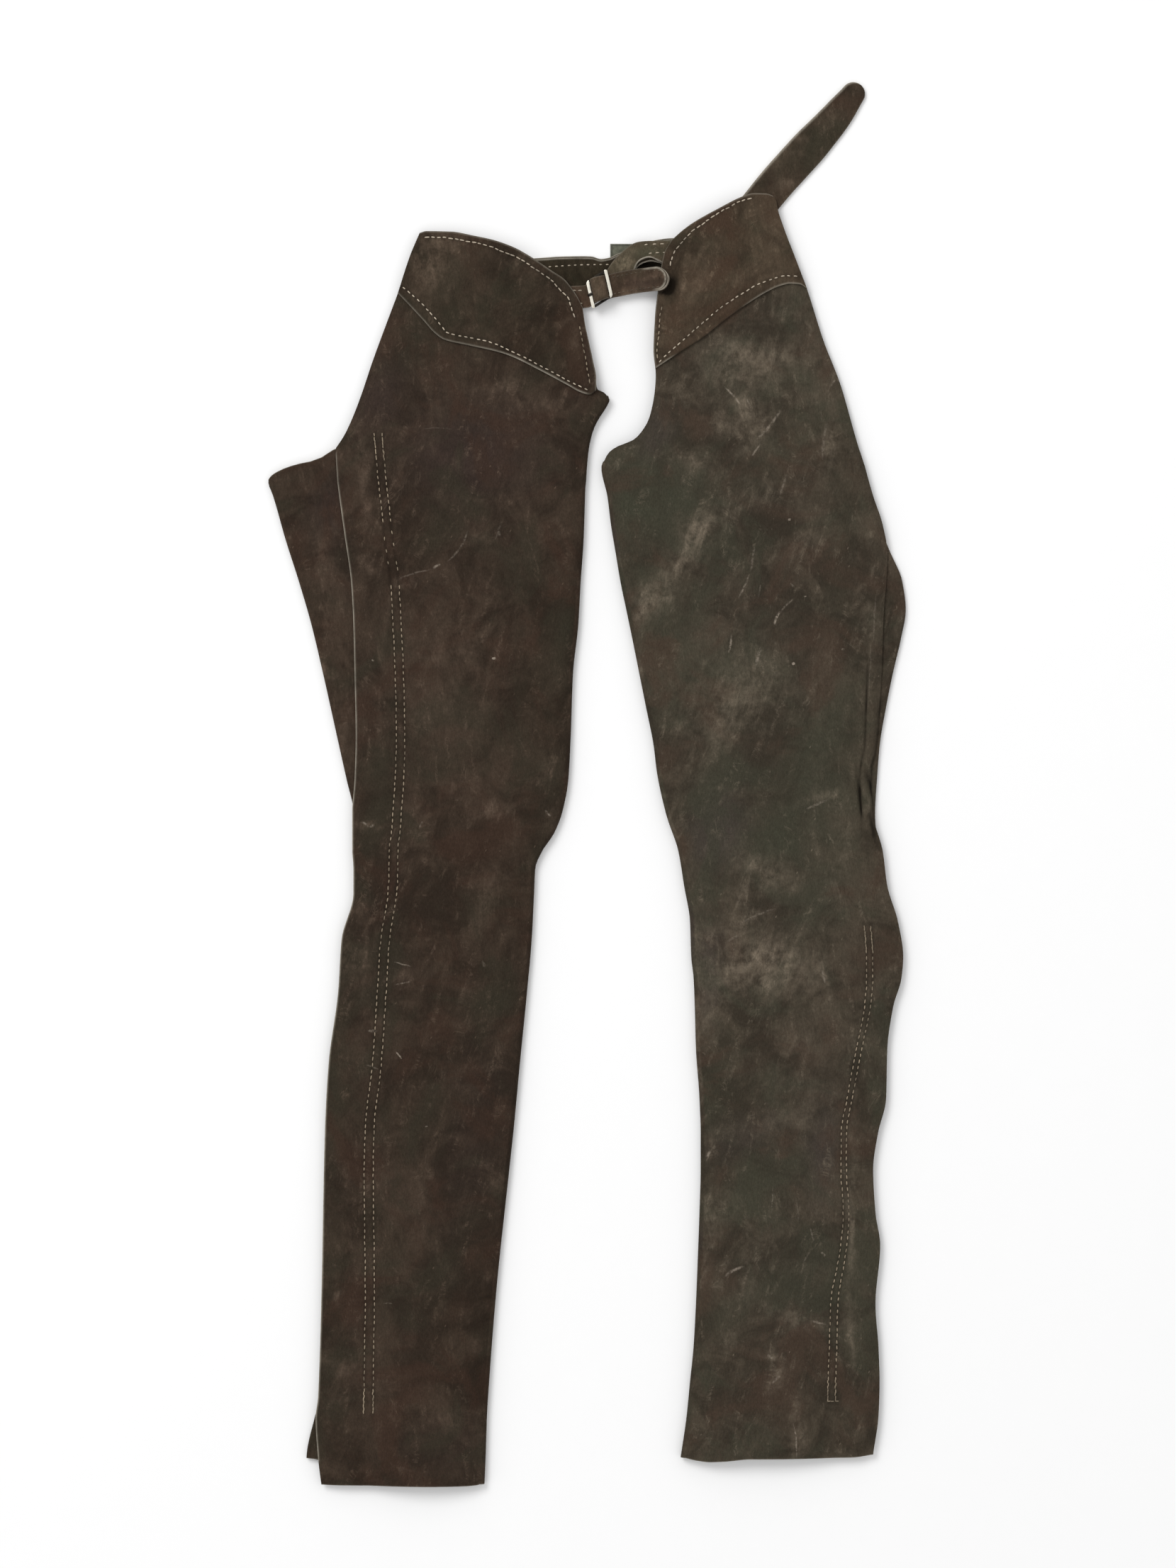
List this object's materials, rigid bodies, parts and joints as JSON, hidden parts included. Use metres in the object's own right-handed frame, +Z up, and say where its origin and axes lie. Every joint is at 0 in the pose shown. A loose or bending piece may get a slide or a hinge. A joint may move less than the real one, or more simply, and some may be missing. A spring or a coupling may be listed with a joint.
{
  "type": "chaps",
  "caption": "Shotgun leg chaps in dark suede laid flat, with hip yokes, zips under raw-edged flaps, a strap with a centre-bar buckle at the front and a tapered billet.",
  "frame": {"origin": "bottom centre of the whole garment's box, on the surface it lies on", "axes": "+Y towards the waist, +X towards the wearer's left leg, +Z up from the surface to the front side"},
  "size_m": [0.539, 1.189, 0.0178],
  "materials": {
    "suede_brown": "brushed brown suede",
    "suede_olive": "worn olive-brown suede",
    "zip_tape": "woven tape",
    "nickel": "polished nickel",
    "label_weave": "woven, bare"
  },
  "bodies": {
    "root": {"right_leg": "suede_brown", "left_leg": "suede_olive", "right_yoke": "suede_brown", "left_yoke": "suede_olive", "right_zip": "zip_tape", "left_zip": "zip_tape", "waist_belt": "suede_brown", "belt_slide": "nickel", "billet": "suede_olive", "front_strap": "suede_brown", "front_chape": "suede_olive", "front_buckle": "nickel", "front_prong": "nickel", "label": "label_weave"}
  },
  "joints": []
}
